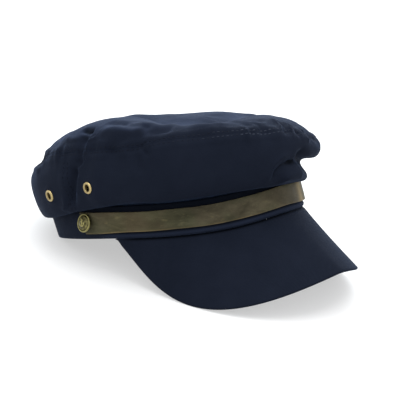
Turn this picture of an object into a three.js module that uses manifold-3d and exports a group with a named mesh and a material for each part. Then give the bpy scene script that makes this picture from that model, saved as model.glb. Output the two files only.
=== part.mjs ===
// Fisherman cap: a soft crown of one top panel and two side panels on a head
// band, with a stiff peak, a leather strap held by two brass buttons, and four
// brass eyelets. Millimetres, +Z up.
//
// Everything is drawn in the cap's own frame and then set down. There the hem of
// the band lies in the plane z = 0, the wearer looks along -Y, and the wearer's
// right is -X. The angle "turn" runs round the head: 0 at the front, negative on
// the wearer's right, 180 at the back.
import * as THREE from "three";
import { mergeVertices } from "three/addons/utils/BufferGeometryUtils.js";
import Module from "manifold-3d";

const wasm = await Module();
wasm.setup();

// ---------------------------------------------------------------- dimensions

const GAP = 0.35; // clearance kept between neighbouring pieces

const BAND = {
  halfLength: 100, // outer face, front to back
  halfWidth: 85.5, // outer face, side to side
  egg: -0.07, // the front is narrower than the back by this share
  height: 24,
  thickness: 2.4,
  leanFront: 0.18, // the wall leans back by this much for each mm of height
  leanBack: 0.34,
  frontLift: 4.8, // the front curves up above the hem's plane
  liftSpread: 31,
  sagFrom: 85, // behind this turn the soft hem sags below its plane
  sagShare: 0.015,
  sagPower: 1.5,
};

const CROWN = {
  thickness: 1.2,
  steps: 80, // facets round the head; a multiple of four
  topCentre: { x: -2, y: 6, z: 76 },
  lipRoll: 6, // the lip is rolled to this width, not creased
  middleShare: 0.52, // where the middle ring lies between centre and rim
  innerShare: 0.22, // the flat spot round the centre
  seamTurn: 99, // the side panels meet here on both sides
  seamMargin: 0.11, // half the gap at the side seams, in degrees
  rimMargin: 0.025, // half the gap at the rim seam, in rows
  topSpread: 0.92, // under 1 draws the rings of the top's grid towards the rim
  gripIn: 2, // the crown's inner edge lies this far inside the band's face
  gripOut: 2.2, // and the crown leaves the band this far outside it
};

// The crown's section at turns round the head. Offsets are outwards from the
// band's outer face, heights from the hem: the lip that hangs over the band, the
// low and high parts of the wall, the rim seam, the crest of the top panel just
// inside the rim, and the height of its middle ring.
const SECTION_COLUMNS = [
  "turn", "lipOut", "lipZ", "lowOut", "lowZ", "highOut", "highZ", "rimOut", "rimZ",
  "crestOut", "crestZ", "middleZ",
];
const SECTION_ROWS = [
  [-180, 6, 11, 12, 28, 13, 42, 3, 53, -14, 66, 76],
  [-150, 5, 10, 10, 28, 11, 43, 2, 51, -14, 66, 76],
  [-120, 7, 13, 13, 31, 14, 46, 5, 60, -8, 73, 80],
  [-100, 8.5, 19, 15, 37, 15, 51, 10, 65, 2, 82, 87],
  [-80, 9, 25, 16, 41, 16, 54, 12, 66, 5, 87, 87],
  [-68, 10, 26, 17, 42, 17, 55, 15, 68, 6, 86, 83],
  [-55, 10, 26, 18, 43, 18, 57, 17, 73, 6, 83, 77],
  [-30, 10, 25, 18, 41, 18, 55, 17, 71, 2, 79, 73],
  [0, 9, 20, 17, 34, 20, 47, 18, 60, -4, 74, 72],
  [20, 7, 20, 13, 31, 22, 42, 21, 50, 0, 71, 72],
  [35, 5, 21, 10, 30, 22, 39, 21, 46, 2, 70, 72],
  [55, 6, 22, 13, 33, 20, 43, 19, 50, -2, 70, 73],
  [90, 8, 24, 17, 38, 17, 50, 14, 58, -6, 70, 73],
  [125, 7, 18, 14, 34, 14, 47, 8, 58, -10, 69, 74],
  [155, 6, 12, 13, 29, 13, 43, 4, 54, -14, 67, 76],
];

// Rows of the crown's section, numbered as its control points are: -1 is the
// inner edge on the band, 2 the lip, 4 and 5 the wall, 6 the rim seam, 11 the
// centre of the top.
const EDGE_ROW = -1;
const RIM_ROW = 6;
const CENTRE_ROW = 11;
const SIDE_ROWS = [-1, 0, 0.8, 1.6, 2.2, 2.7, 3.2, 3.8, 4.4, 5, 5.5, RIM_ROW];

// Creases and bulges: a path of [turn, row] points on the crown, how deep the
// cloth is pushed in there (a bulge is negative), and how wide each side is.
const FOLDS = [
  {
    name: "side_crease",
    path: [[-100, 3.7], [-96, 4.3], [-94, 5], [-90, 6], [-85, 6.9]],
    depth: 6,
    wide: 5,
  },
  {
    name: "side_ridge",
    path: [[-91, 3.6], [-89, 4.2], [-88, 4.9], [-86, 5.6], [-81, 6.4]],
    depth: -3,
    wide: 6,
  },
  {
    name: "rim_pinch",
    path: [[-66, 4.9], [-67, 5.6], [-66, 6.2], [-63, 6.9]],
    depth: 2,
    wide: 4,
  },
  { name: "front_notch", path: [[4, 4], [14, 4], [36, 3.9], [58, 3.9]], depth: 9, wide: 5 },
  { name: "notch_curl", path: [[-9, 2.8], [-6, 3.4], [-1, 4]], depth: 3, wide: 4 },
  { name: "front_roll", path: [[14, 2.9], [36, 2.9], [58, 2.9]], depth: -3, wide: 4 },
  { name: "back_dip", path: [[-150, 5.6], [-128, 6.1]], depth: 4, wide: 6 },
  { name: "back_crease", path: [[160, 4.4], [163, 5], [168, 6], [174, 7]], depth: 4, wide: 7 },
  { name: "left_crease", path: [[103, 3.4], [104, 4.2], [100, 5.4], [96, 6.6]], depth: 4, wide: 7 },
  { name: "left_fold", path: [[64, 4.2], [78, 5.2], [84, 6.4]], depth: 4, wide: 6 },
  { name: "top_dent", path: [[-150, 8.6], [-20, 9.4], [20, 8.4]], depth: 4, wide: 17 },
  { name: "top_fold", path: [[70, 7.2], [30, 8.4], [-20, 8.6]], depth: 3.5, wide: 11 },
];

const PEAK = {
  halfTurn: 87, // it is sewn on from -87 to 87 degrees
  width: 62.6, // seam to edge at the front
  taperPower: 4.3, // higher keeps the width further round
  taperSoftness: 1.36,
  droopFront: 43, // below the hem's plane, in degrees
  droopEnd: 88,
  droopPower: 1.18,
  thickness: 3,
  steps: 42,
  rows: 6,
  lastShare: 0.985, // the pointed ends stop at this share of halfTurn
};

const STRAP = {
  height: 14.3,
  lowZ: 5.2,
  thickness: 1.6,
  pastButton: 2.6, // it ends this far behind each button's middle
  steps: 60,
  looseTurn: 36, // where it stands furthest off the band
  looseSpread: 24,
  looseBy: 1.2,
};

const BUTTON = {
  turn: 100,
  radius: 7,
  rimHeight: 1.6,
  domeHeight: 3,
  postRadius: 1.5,
  holeReach: 8, // half the length of the drill through strap and band
  sides: 20,
};

const EYELET = {
  places: [
    { name: "front", turn: 87.5, z: 41 },
    { name: "rear", turn: 110.5, z: 33.5 },
  ],
  holeRadius: 2.5,
  barrelRadius: 3,
  flangeRadius: 4.8,
  washerRadius: 4.3,
  rollHeight: 1.1,
  pressDepth: 6, // how far round the cloth a seat is cleared
  sides: 12,
};

const COLOURS = {
  twill: { color: 0x1b2233, roughness: 0.9, metalness: 0 },
  leather: { color: 0x4a4433, roughness: 0.55, metalness: 0 },
  brass: { color: 0x8f7b45, roughness: 0.4, metalness: 0.9 },
};

// ------------------------------------------------------------------- helpers

const radians = THREE.MathUtils.degToRad;
const UP = new THREE.Vector3(0, 0, 1);

const material = (finish) => new THREE.MeshStandardMaterial(COLOURS[finish]);

const SECTIONS = SECTION_ROWS.map((row) =>
  Object.fromEntries(SECTION_COLUMNS.map((column, i) => [column, row[i]])),
);

// The nth section, counted round the head as often as need be.
function sectionRow(n) {
  const count = SECTIONS.length;
  const lap = Math.floor(n / count);
  const row = SECTIONS[n - lap * count];
  return { ...row, turn: row.turn + 360 * lap };
}

// One column of the sections at any turn, smooth all the way round.
function sectionValue(column, anyTurn) {
  const turn = THREE.MathUtils.euclideanModulo(anyTurn + 180, 360) - 180;
  const next = SECTIONS.findIndex((row) => row.turn > turn);
  const at = next < 0 ? SECTIONS.length - 1 : next - 1;
  const [a, b, c, d] = [-1, 0, 1, 2].map((step) => sectionRow(at + step));
  const span = c.turn - b.turn;
  const t = (turn - b.turn) / span;
  const slopeB = (span * (c[column] - a[column])) / (c.turn - a.turn);
  const slopeC = (span * (d[column] - b[column])) / (d.turn - b.turn);
  return (
    b[column] * (1 - 3 * t ** 2 + 2 * t ** 3) +
    c[column] * (3 * t ** 2 - 2 * t ** 3) +
    slopeB * (t - 2 * t ** 2 + t ** 3) +
    slopeC * (t ** 3 - t ** 2)
  );
}

// The band's outer line at the hem, and the direction straight out of it.
function ring(turn) {
  const a = radians(turn);
  const share = 1 + BAND.egg * Math.cos(a);
  const point = new THREE.Vector3(
    BAND.halfWidth * Math.sin(a) * share,
    -BAND.halfLength * Math.cos(a),
    0,
  );
  const alongX =
    BAND.halfWidth * (Math.cos(a) * share - BAND.egg * Math.sin(a) ** 2);
  const alongY = BAND.halfLength * Math.sin(a);
  return { point, out: new THREE.Vector3(alongY, -alongX, 0).normalize() };
}

// The peak's width and droop at a turn, and the frame of its ruling there.
function peakRuling(turn) {
  const share = Math.abs(turn) / PEAK.halfTurn;
  const width =
    PEAK.width * (1 - share ** PEAK.taperPower) ** PEAK.taperSoftness;
  const droop = radians(
    PEAK.droopFront +
      (PEAK.droopEnd - PEAK.droopFront) * share ** PEAK.droopPower,
  );
  const away = ring(turn).out;
  const down = away.clone().multiplyScalar(Math.cos(droop));
  down.z = -Math.sin(droop);
  const normal = away.clone().multiplyScalar(Math.sin(droop));
  normal.z = Math.cos(droop);
  return { width, down, normal };
}

// The outline of the peak's section at a turn: under face, edge, upper face.
function peakSection(turn) {
  const { width, down, normal } = peakRuling(turn);
  const start = ring(turn).point.setZ(frontLift(turn) - GAP);
  const at = (along, deep) =>
    start
      .clone()
      .addScaledVector(down, along)
      .addScaledVector(normal, -deep);
  const reach = Math.max(width - PEAK.thickness / 2, 0.5);
  const steps = Array.from({ length: PEAK.rows + 1 }, (_, k) => k / PEAK.rows);
  const edge = reach + PEAK.thickness * 0.4;
  return [
    ...steps.map((share) => at(reach * share, PEAK.thickness)),
    at(edge, PEAK.thickness * 0.75),
    at(edge, PEAK.thickness * 0.25),
    ...steps.reverse().map((share) => at(reach * share, 0)),
  ];
}

function peakTurns() {
  const span = PEAK.halfTurn * PEAK.lastShare;
  const steps = Array.from({ length: PEAK.steps + 1 }, (_, i) => i / PEAK.steps);
  return steps.map((share) => span * (2 * share - 1));
}

// The slope of the table, seen from the cap: it touches the back of the hem and
// the low corners of the peak.
const TABLE_SLOPE = Math.max(
  ...peakTurns()
    .flatMap(peakSection)
    .map((point) => -point.z / (BAND.halfLength - point.y)),
);

// How far the hem sags below its plane. At the very back it lies flat on the
// table, on the slope that runs down to it from the low corners of the peak.
function hemSag(turn, y) {
  const past = Math.max(Math.abs(turn) - BAND.sagFrom, 0);
  const soft = BAND.sagShare * past ** BAND.sagPower;
  return Math.min(soft, TABLE_SLOPE * (BAND.halfLength - y));
}

function frontLift(turn) {
  return BAND.frontLift * Math.exp(-((turn / BAND.liftSpread) ** 2));
}

// A point "out" mm off the band's outer face and z above the hem. The wall leans
// back up to the top of the band, and what is above it keeps that shift; the
// hem's sag fades out towards the top of the band.
function offBand(turn, out, z) {
  const { point, out: away } = ring(turn);
  point.addScaledVector(away, out);
  const onBand = THREE.MathUtils.clamp(z, 0, BAND.height);
  const share = 1 - onBand / BAND.height;
  const lean = THREE.MathUtils.lerp(
    BAND.leanFront,
    BAND.leanBack,
    (1 - Math.cos(radians(turn))) / 2,
  );
  const sag = share > 0 ? share * hemSag(turn, point.y) : 0;
  return point.add(new THREE.Vector3(0, lean * onBand, z + frontLift(turn) - sag));
}

// Joins a grid of points (rows of equal length) into triangles. Each row is a
// closed section, its outer half first. A tube bent into a ring closes along its
// length too; a strip is capped at its two ends instead. The halves are split
// along matching diagonals, so that a thin wall keeps its thickness.
function gridSolid(rows, closedAlong) {
  const around = rows[0].length;
  const points = rows.flat();
  const faces = [];
  const last = closedAlong ? rows.length : rows.length - 1;
  for (let i = 0; i < last; i++) {
    const next = (i + 1) % rows.length;
    for (let j = 0; j < around; j++) {
      const k = (j + 1) % around;
      const [a, b] = [i * around + j, i * around + k];
      const [c, d] = [next * around + k, next * around + j];
      if (j < around / 2) faces.push(a, c, b, a, d, c);
      else faces.push(a, d, b, b, d, c);
    }
  }
  if (!closedAlong) {
    const far = (rows.length - 1) * around;
    for (let j = 0; j < around / 2 - 1; j++) {
      const [a, b] = [j, j + 1];
      const [c, d] = [around - 2 - j, around - 1 - j];
      if (b === c) continue;
      faces.push(a, b, c, a, c, d);
      faces.push(far + a, far + c, far + b, far + a, far + d, far + c);
    }
  }
  return geometryOf(points, faces);
}

function geometryOf(points, faces) {
  const flat = points.flatMap((p) => [p.x, p.y, p.z]);
  const geometry = new THREE.BufferGeometry();
  geometry.setAttribute("position", new THREE.Float32BufferAttribute(flat, 3));
  geometry.setIndex(faces);
  return geometry;
}

// A three.js geometry as a manifold-3d solid, and back.
function toSolid(geometry) {
  const bare = geometry.clone();
  bare.deleteAttribute("normal");
  bare.deleteAttribute("uv");
  const merged = mergeVertices(bare, 1e-4);
  return new wasm.Manifold(
    new wasm.Mesh({
      numProp: 3,
      vertProperties: new Float32Array(merged.attributes.position.array),
      triVerts: new Uint32Array(merged.index.array),
    }),
  );
}

function fromSolid(solid) {
  const mesh = solid.getMesh();
  const geometry = new THREE.BufferGeometry();
  geometry.setAttribute(
    "position",
    new THREE.Float32BufferAttribute(mesh.vertProperties, 3),
  );
  geometry.setIndex(Array.from(mesh.triVerts));
  return geometry;
}

// Cuts round holes and pressed seats: each cut is a cylinder from one height to
// another along a direction.
function withCuts(geometry, cuts) {
  let solid = toSolid(geometry);
  for (const { at, along, radius, from, to } of cuts) {
    const drill = new THREE.CylinderGeometry(radius, radius, to - from, 16);
    drill.translate(0, (from + to) / 2, 0);
    drill.applyQuaternion(
      new THREE.Quaternion().setFromUnitVectors(new THREE.Vector3(0, 1, 0), along),
    );
    drill.translate(at.x, at.y, at.z);
    solid = solid.subtract(toSolid(drill));
  }
  return fromSolid(solid);
}

function named(name, geometry, finish) {
  const mesh = new THREE.Mesh(geometry, material(finish));
  mesh.name = name;
  return mesh;
}

// --------------------------------------------------------------------- crown

// Control points of the crown's section at one turn, from the band to the centre.
function sectionPoints(turn) {
  const v = (column) => sectionValue(column, turn);
  const rim = offBand(turn, v("rimOut"), v("rimZ"));
  const { x, y, z } = CROWN.topCentre;
  const centre = new THREE.Vector3(x, y, z);
  const topPoint = (share, height) =>
    new THREE.Vector3().lerpVectors(centre, rim, share).setZ(height);
  return [
    offBand(turn, -CROWN.gripIn, BAND.height + GAP),
    offBand(turn, CROWN.gripOut, BAND.height + GAP + CROWN.gripOut),
    offBand(turn, v("lipOut") - CROWN.lipRoll / 2, v("lipZ")),
    offBand(turn, v("lipOut") + CROWN.lipRoll / 2, v("lipZ") + 1),
    offBand(turn, v("lowOut"), v("lowZ")),
    offBand(turn, v("highOut"), v("highZ")),
    rim,
    offBand(turn, v("crestOut"), v("crestZ")),
    topPoint(CROWN.middleShare, v("middleZ")),
    topPoint(CROWN.innerShare, z),
    centre,
  ];
}

const sectionCache = new Map();

// The crown's outer face before its folds: a cubic B-spline along the section.
function smoothCrown(turn, row) {
  if (!sectionCache.has(turn)) sectionCache.set(turn, sectionPoints(turn));
  const points = sectionCache.get(turn);
  const from = Math.min(Math.floor(row), CENTRE_ROW - 1);
  const t = row - from;
  const weights = [
    (1 - t) ** 3 / 6,
    (3 * t ** 3 - 6 * t ** 2 + 4) / 6,
    (-3 * t ** 3 + 3 * t ** 2 + 3 * t + 1) / 6,
    t ** 3 / 6,
  ];
  const sum = new THREE.Vector3();
  weights.forEach((weight, i) => {
    const k = THREE.MathUtils.clamp(from - 1 + i, 0, points.length - 1);
    sum.addScaledVector(points[k], weight);
  });
  return sum;
}

// The direction out of the cloth at a point of the smooth crown.
function crownNormal(turn, row) {
  if (row > CENTRE_ROW - 0.05) return UP.clone();
  const lower = Math.max(row - 0.02, EDGE_ROW);
  const upper = Math.min(row + 0.02, CENTRE_ROW);
  const along = smoothCrown(turn + 0.5, row).sub(smoothCrown(turn - 0.5, row));
  const across = smoothCrown(turn, upper).sub(smoothCrown(turn, lower));
  return along.cross(across).normalize();
}

const foldPaths = FOLDS.map((fold) => ({
  ...fold,
  points: fold.path.map(([turn, row]) => smoothCrown(turn, row)),
}));

// How far the folds push the cloth in at a point of the smooth crown. Each fades
// out past the ends of its path and away from it.
function foldDepth(point) {
  let depth = 0;
  for (const fold of foldPaths) {
    let nearest = Infinity;
    for (let i = 1; i < fold.points.length; i++) {
      const piece = new THREE.Line3(fold.points[i - 1], fold.points[i]);
      const foot = piece.closestPointToPoint(point, true, new THREE.Vector3());
      nearest = Math.min(nearest, foot.distanceTo(point));
    }
    depth += fold.depth * Math.exp(-((nearest / fold.wide) ** 2));
  }
  return depth;
}

// The outer and inner faces of the cloth at one turn and row.
function crownPair(turn, row) {
  const smooth = smoothCrown(turn, row);
  const normal = crownNormal(turn, row);
  const outer = smooth.clone().addScaledVector(normal, -foldDepth(smooth));
  const inner = outer.clone().addScaledVector(normal, -CROWN.thickness);
  return { outer, inner, normal };
}

// Where the outer face of the wall passes a height, at one turn.
function wallAt(turn, z) {
  let [low, high] = [2.2, RIM_ROW];
  for (let i = 0; i < 24; i++) {
    const row = (low + high) / 2;
    if (crownPair(turn, row).outer.z < z) low = row;
    else high = row;
  }
  return crownPair(turn, low);
}

// One side panel between two seams.
function sidePanel(fromTurn, toTurn) {
  const count = Math.round(((toTurn - fromTurn) * CROWN.steps) / 360);
  const rows = [];
  for (let i = 0; i <= count; i++) {
    const turn = THREE.MathUtils.clamp(
      fromTurn + ((toTurn - fromTurn) * i) / count,
      fromTurn + CROWN.seamMargin,
      toTurn - CROWN.seamMargin,
    );
    const pairs = SIDE_ROWS.map((row) =>
      crownPair(turn, Math.min(row, RIM_ROW - CROWN.rimMargin)),
    );
    rows.push([
      ...pairs.map((pair) => pair.outer),
      ...pairs.map((pair) => pair.inner).reverse(),
    ]);
  }
  return gridSolid(rows, false);
}

// The top panel: a square grid drawn out to the round rim, so that its cloth has
// no point where all the facets meet.
function topPanel() {
  const across = CROWN.steps / 4;
  const size = across + 1;
  const rows = CENTRE_ROW - RIM_ROW - CROWN.rimMargin;
  const outer = [];
  const inner = [];
  for (let j = 0; j < size; j++) {
    for (let i = 0; i < size; i++) {
      const a = (2 * i) / across - 1;
      const b = (2 * j) / across - 1;
      const share = Math.max(Math.abs(a), Math.abs(b));
      const sideways = Math.abs(a) >= Math.abs(b);
      const slant = share === 0 ? 0 : (sideways ? b : a) / (sideways ? a : b);
      const quarter = sideways ? (a > 0 ? 90 : -90) : b > 0 ? 180 : 0;
      const turn = quarter + (sideways ? 45 : -45) * slant;
      const row = CENTRE_ROW - share ** CROWN.topSpread * rows;
      const pair = crownPair(turn, row);
      outer.push(pair.outer);
      inner.push(pair.inner);
    }
  }
  const at = (i, j, face) => face * size * size + j * size + i;
  const faces = [];
  for (let j = 0; j < across; j++)
    for (let i = 0; i < across; i++)
      for (const face of [0, 1]) {
        const corners = [
          at(i, j, face),
          at(i + 1, j, face),
          at(i + 1, j + 1, face),
          at(i, j + 1, face),
        ];
        const [p, q, r, s] = corners;
        if (face === 0) faces.push(p, q, r, p, r, s);
        else faces.push(p, r, q, p, s, r);
      }
  const edge = [];
  for (let i = 0; i < across; i++) edge.push([i, 0]);
  for (let j = 0; j < across; j++) edge.push([across, j]);
  for (let i = across; i > 0; i--) edge.push([i, across]);
  for (let j = across; j > 0; j--) edge.push([0, j]);
  edge.forEach(([i, j], n) => {
    const [k, l] = edge[(n + 1) % edge.length];
    const [a, b] = [at(i, j, 0), at(k, l, 0)];
    const [c, d] = [at(k, l, 1), at(i, j, 1)];
    faces.push(a, c, b, a, d, c);
  });
  return geometryOf([...outer, ...inner], faces);
}

// ------------------------------------------------------- band, peak and strap

function band() {
  const rows = [];
  for (let i = 0; i < CROWN.steps; i++) {
    const turn = -180 + (360 * i) / CROWN.steps;
    rows.push([
      offBand(turn, -BAND.thickness, 0),
      offBand(turn, 0, 0),
      offBand(turn, 0, BAND.height / 2),
      offBand(turn, 0, BAND.height),
      offBand(turn, -BAND.thickness, BAND.height),
      offBand(turn, -BAND.thickness, BAND.height / 2),
    ]);
  }
  return gridSolid(rows, true);
}

function peak() {
  return gridSolid(peakTurns().map(peakSection), false);
}

// How far the strap's inner face stands off the band at a turn.
function strapOut(turn) {
  const away = (turn - STRAP.looseTurn) / STRAP.looseSpread;
  return GAP + STRAP.looseBy * Math.exp(-(away ** 2));
}

function strap() {
  const rows = [];
  const span =
    BUTTON.turn + THREE.MathUtils.radToDeg(STRAP.pastButton / BAND.halfLength);
  for (let i = 0; i <= STRAP.steps; i++) {
    const turn = -span + (2 * span * i) / STRAP.steps;
    const inside = strapOut(turn);
    const outside = inside + STRAP.thickness;
    const high = STRAP.lowZ + STRAP.height;
    rows.push([
      offBand(turn, inside, STRAP.lowZ),
      offBand(turn, outside, STRAP.lowZ),
      offBand(turn, outside, STRAP.lowZ + STRAP.height / 2),
      offBand(turn, outside, high),
      offBand(turn, inside, high),
      offBand(turn, inside, STRAP.lowZ + STRAP.height / 2),
    ]);
  }
  return gridSolid(rows, false);
}

// ---------------------------------------------------------- brass and holes

// Where a button sits: the middle of the strap's outer face, square to it.
function buttonSeat(side) {
  const turn = side * BUTTON.turn;
  const z = STRAP.lowZ + STRAP.height / 2;
  const wall = offBand(turn, 1, 12).sub(offBand(turn, 1, 0)).normalize();
  const along = offBand(turn + 0.5, 0, z).sub(offBand(turn - 0.5, 0, z));
  return {
    at: offBand(turn, strapOut(turn) + STRAP.thickness + GAP, z),
    along: along.cross(wall).normalize(),
  };
}

// Turns a profile of [radius, height] points about its axis and stands it at a
// place, with its height along a direction.
function turned(profile, sides, at, along) {
  const points = profile.map(([radius, height]) => new THREE.Vector2(radius, height));
  const geometry = new THREE.LatheGeometry(points, sides);
  geometry.applyQuaternion(
    new THREE.Quaternion().setFromUnitVectors(new THREE.Vector3(0, 1, 0), along),
  );
  geometry.translate(at.x, at.y, at.z);
  return geometry;
}

function button(side) {
  const { at, along } = buttonSeat(side);
  const { radius, rimHeight, domeHeight, postRadius } = BUTTON;
  const postLength = GAP + STRAP.thickness + BAND.thickness;
  const profile = [
    [0, -postLength],
    [postRadius, -postLength],
    [postRadius, 0],
    [radius - 0.5, 0],
    [radius, 0.5],
    [radius, rimHeight - 0.4],
    [radius - 0.6, rimHeight],
    [radius - 1.2, rimHeight - 0.3],
    [radius * 0.6, domeHeight - 0.5],
    [radius * 0.3, domeHeight - 0.1],
    [0, domeHeight],
  ];
  return turned(profile, BUTTON.sides, at, along);
}

function eyeletSeat(side, place) {
  const { outer, normal } = wallAt(side * place.turn, place.z);
  return { at: outer, along: normal };
}

// The hole for an eyelet, and the flat seats that it presses into both faces of
// the cloth.
function eyeletCuts(seat) {
  const { barrelRadius, flangeRadius, washerRadius, pressDepth } = EYELET;
  const inside = -CROWN.thickness;
  return [
    { ...seat, radius: barrelRadius + GAP, from: inside - pressDepth, to: pressDepth },
    { ...seat, radius: flangeRadius + GAP, from: 0, to: pressDepth },
    { ...seat, radius: washerRadius + GAP, from: inside - pressDepth, to: inside },
  ];
}

// A rolled flange outside, a barrel through the cloth and a flat washer inside.
function eyelet({ at, along }) {
  const { holeRadius, barrelRadius, flangeRadius, washerRadius, rollHeight } =
    EYELET;
  const under = -(CROWN.thickness + 2 * GAP);
  const profile = [
    [holeRadius, under],
    [washerRadius, under],
    [washerRadius, under + GAP],
    [barrelRadius, under + GAP],
    [barrelRadius, GAP],
    [flangeRadius, GAP],
    [flangeRadius, GAP + 0.4],
    [flangeRadius - 0.9, GAP + rollHeight],
    [holeRadius + 0.5, GAP + rollHeight * 0.8],
    [holeRadius, GAP],
    [holeRadius, under],
  ];
  return turned(profile, EYELET.sides, at, along);
}

// ------------------------------------------------------------------ assembly

const SIDES = [
  { name: "right", sign: -1 },
  { name: "left", sign: 1 },
];

const cap = new THREE.Group();

const buttonHoles = SIDES.map(({ sign }) => ({
  ...buttonSeat(sign),
  radius: BUTTON.postRadius + GAP,
  from: -BUTTON.holeReach,
  to: BUTTON.holeReach,
}));
cap.add(named("band", withCuts(band(), buttonHoles), "twill"));
cap.add(named("peak", peak(), "twill"));
cap.add(named("strap", withCuts(strap(), buttonHoles), "leather"));
cap.add(named("top_panel", topPanel(), "twill"));

const PLACES = SIDES.flatMap(({ name: sideName, sign }) =>
  EYELET.places.map((place) => ({
    name: `eyelet_${place.name}_${sideName}`,
    front: place.name === "front",
    seat: eyeletSeat(sign, place),
  })),
);

const PANELS = [
  { name: "side_panel_front", front: true, from: -CROWN.seamTurn, to: CROWN.seamTurn },
  { name: "side_panel_back", front: false, from: CROWN.seamTurn, to: 360 - CROWN.seamTurn },
];

for (const { name, front, from, to } of PANELS) {
  const cuts = PLACES.filter((place) => place.front === front).flatMap(({ seat }) =>
    eyeletCuts(seat),
  );
  cap.add(named(name, withCuts(sidePanel(from, to), cuts), "twill"));
}

for (const { name, seat } of PLACES) cap.add(named(name, eyelet(seat), "brass"));
for (const { name, sign } of SIDES)
  cap.add(named(`button_${name}`, button(sign), "brass"));

// Set down, the cap tips back until its peak's low corners touch the table too.
cap.rotation.x = -Math.atan(TABLE_SLOPE);
cap.updateMatrixWorld(true);
const box = new THREE.Box3();
cap.traverse((mesh) => {
  if (mesh.isMesh) box.expandByObject(mesh, true);
});
const middle = box.getCenter(new THREE.Vector3());
cap.position.set(-middle.x, -middle.y, -box.min.z);

export default cap;
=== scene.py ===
"""A navy fisherman cap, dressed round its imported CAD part.

The shapes are worked out in the cap's own frame, which is the frame that the part
is drawn in: millimetres, the hem of the band in the plane z = 0, the wearer
looking along -Y and the wearer's right at -X. "turn" runs round the head: 0 at the
front, negative on the wearer's right, 180 at the back. "row" runs over the crown:
-1 at its inner edge on the band, 2 at the lip, 6 at the rim seam, 11 at the centre
of the top. to_frame() sets a point down in the shared frame, in metres, where the
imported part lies.
"""

import math
from types import SimpleNamespace as Record

import bmesh
import bpy
import numpy as np
from mathutils import Matrix, Vector


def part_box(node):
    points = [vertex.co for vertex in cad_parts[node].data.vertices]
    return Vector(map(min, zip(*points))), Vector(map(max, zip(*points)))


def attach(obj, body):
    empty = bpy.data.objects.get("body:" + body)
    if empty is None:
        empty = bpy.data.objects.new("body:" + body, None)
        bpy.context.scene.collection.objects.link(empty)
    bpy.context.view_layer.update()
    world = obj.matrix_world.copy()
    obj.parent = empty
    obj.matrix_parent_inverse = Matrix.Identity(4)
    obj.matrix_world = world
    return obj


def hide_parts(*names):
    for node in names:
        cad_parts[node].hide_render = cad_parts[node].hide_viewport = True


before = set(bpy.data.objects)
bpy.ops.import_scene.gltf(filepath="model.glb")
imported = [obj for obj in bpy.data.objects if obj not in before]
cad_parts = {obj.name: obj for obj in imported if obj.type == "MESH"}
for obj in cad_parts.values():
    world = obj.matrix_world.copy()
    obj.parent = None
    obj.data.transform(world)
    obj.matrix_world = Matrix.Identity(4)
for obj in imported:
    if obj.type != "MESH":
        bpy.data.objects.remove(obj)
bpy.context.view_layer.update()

MM = 0.001  # the cap's frame is in millimetres, Blender's in metres
UP = np.array([0, 0, 1.0])

# ---- the dimensions, most of them the part's own

GAP = 0.35
BAND = Record(
    half_length=100, half_width=85.5, egg=-0.07, height=24, thickness=2.4,
    lean_front=0.18, lean_back=0.34, front_lift=4.8, lift_spread=31,
    sag_from=85, sag_share=0.015, sag_power=1.5,
)
CROWN = Record(
    thickness=1.2, top_centre=(-2, 6, 76), lip_roll=6, middle_share=0.52,
    inner_share=0.22, seam_turn=99, grip_in=2, grip_out=2.2,
)
# The crown's section at turns round the head: offsets out from the band's face and
# heights above the hem of the lip, the wall, the rim seam and the crest of the top.
SECTION_COLUMNS = [
    "turn", "lip_out", "lip_z", "low_out", "low_z", "high_out", "high_z",
    "rim_out", "rim_z", "crest_out", "crest_z", "middle_z",
]
SECTION_ROWS = [
    [-180, 6, 11, 12, 28, 13, 42, 3, 53, -14, 66, 76],
    [-150, 5, 10, 10, 28, 11, 43, 2, 51, -14, 66, 76],
    [-120, 7, 13, 13, 31, 14, 46, 5, 60, -8, 73, 80],
    [-100, 8.5, 19, 15, 37, 15, 51, 10, 65, 2, 82, 87],
    [-80, 9, 25, 16, 41, 16, 54, 12, 66, 5, 87, 87],
    [-68, 10, 26, 17, 42, 17, 55, 15, 68, 6, 86, 83],
    [-55, 10, 26, 18, 43, 18, 57, 17, 73, 6, 83, 77],
    [-30, 10, 25, 18, 41, 18, 55, 17, 71, 2, 79, 73],
    [0, 9, 20, 17, 34, 20, 47, 18, 60, -4, 74, 72],
    [20, 7, 20, 13, 31, 22, 42, 21, 50, 0, 71, 72],
    [35, 5, 21, 10, 30, 22, 39, 21, 46, 2, 70, 72],
    [55, 6, 22, 13, 33, 20, 43, 19, 50, -2, 70, 73],
    [90, 8, 24, 17, 38, 17, 50, 14, 58, -6, 70, 73],
    [125, 7, 18, 14, 34, 14, 47, 8, 58, -10, 69, 74],
    [155, 6, 12, 13, 29, 13, 43, 4, 54, -14, 67, 76],
]
RIM_ROW = 6
CENTRE_ROW = 11
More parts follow.
